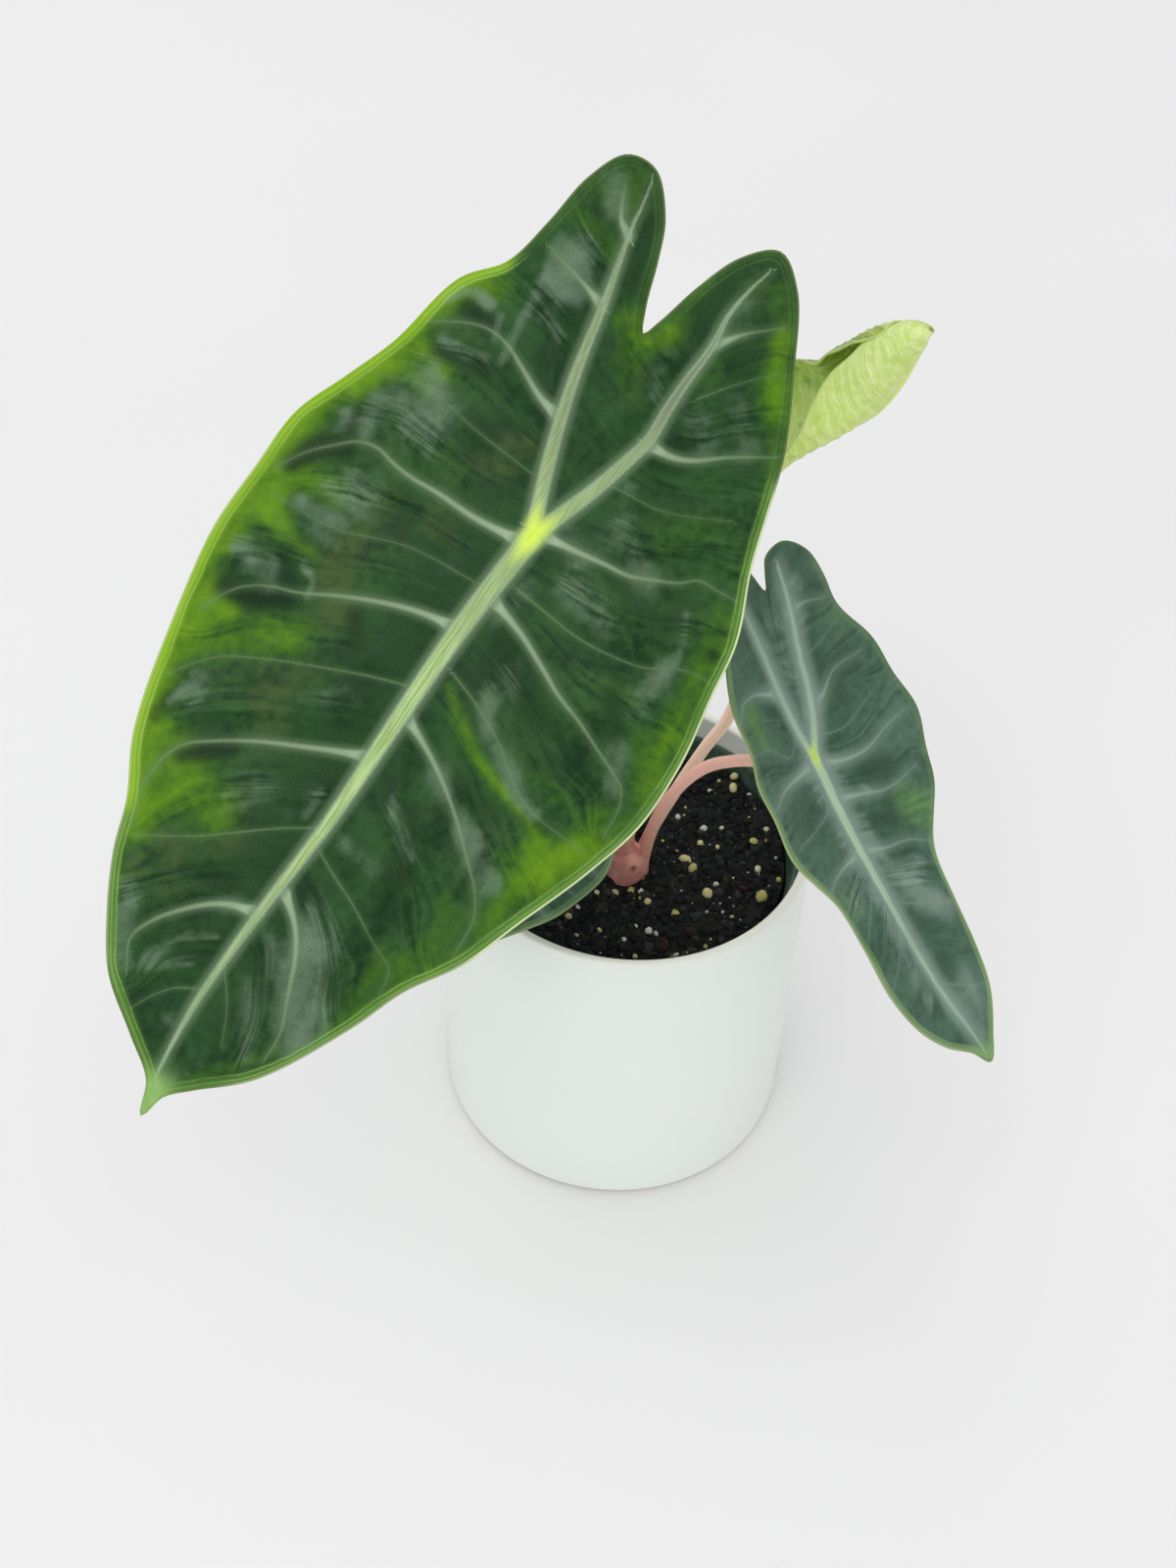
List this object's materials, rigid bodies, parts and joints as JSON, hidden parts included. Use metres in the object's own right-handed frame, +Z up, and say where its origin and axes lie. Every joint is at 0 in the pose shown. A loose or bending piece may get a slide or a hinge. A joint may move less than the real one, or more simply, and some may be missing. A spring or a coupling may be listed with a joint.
{
  "type": "potted pink dragon alocasia",
  "caption": "Arrow-leaved aroid house plant with pink leaf stalks, growing in a thin nursery pot that stands inside a straight, round, glazed cover pot.",
  "frame": {"origin": "centre of the cover pot's underside", "axes": "+Z up along the pot's axis; -Y is the front, the side that the large leaf leans over; +X is the viewer's right from the front"},
  "size_m": [0.2518, 0.2315, 0.3735],
  "materials": {
    "cover_glaze": "satin white glaze with a faint green tint",
    "nursery_plastic": "thin dark green moulded plastic",
    "potting_mix": "black peat and bark mix with pale perlite grains",
    "sheath": "dull mauve pink skin",
    "stalk": "dusty pink skin, slightly waxy",
    "leaf_dark": "leathery dark green face with silvery veins, paler underside",
    "leaf_grey": "leathery grey green face with silvery veins",
    "leaf_low": "leathery blue green face",
    "leaf_young": "soft light yellow green underside with pale veins"
  },
  "bodies": {
    "root": {"cover_pot": "cover_glaze", "nursery_pot": "nursery_plastic", "soil": "potting_mix", "crown": "sheath", "stalk_large": "stalk", "stalk_right": "stalk", "stalk_rolled": "stalk", "stalk_low": "stalk", "blade_large": "leaf_dark", "blade_right": "leaf_grey", "blade_low": "leaf_low", "blade_rolled": "leaf_young"}
  },
  "joints": []
}
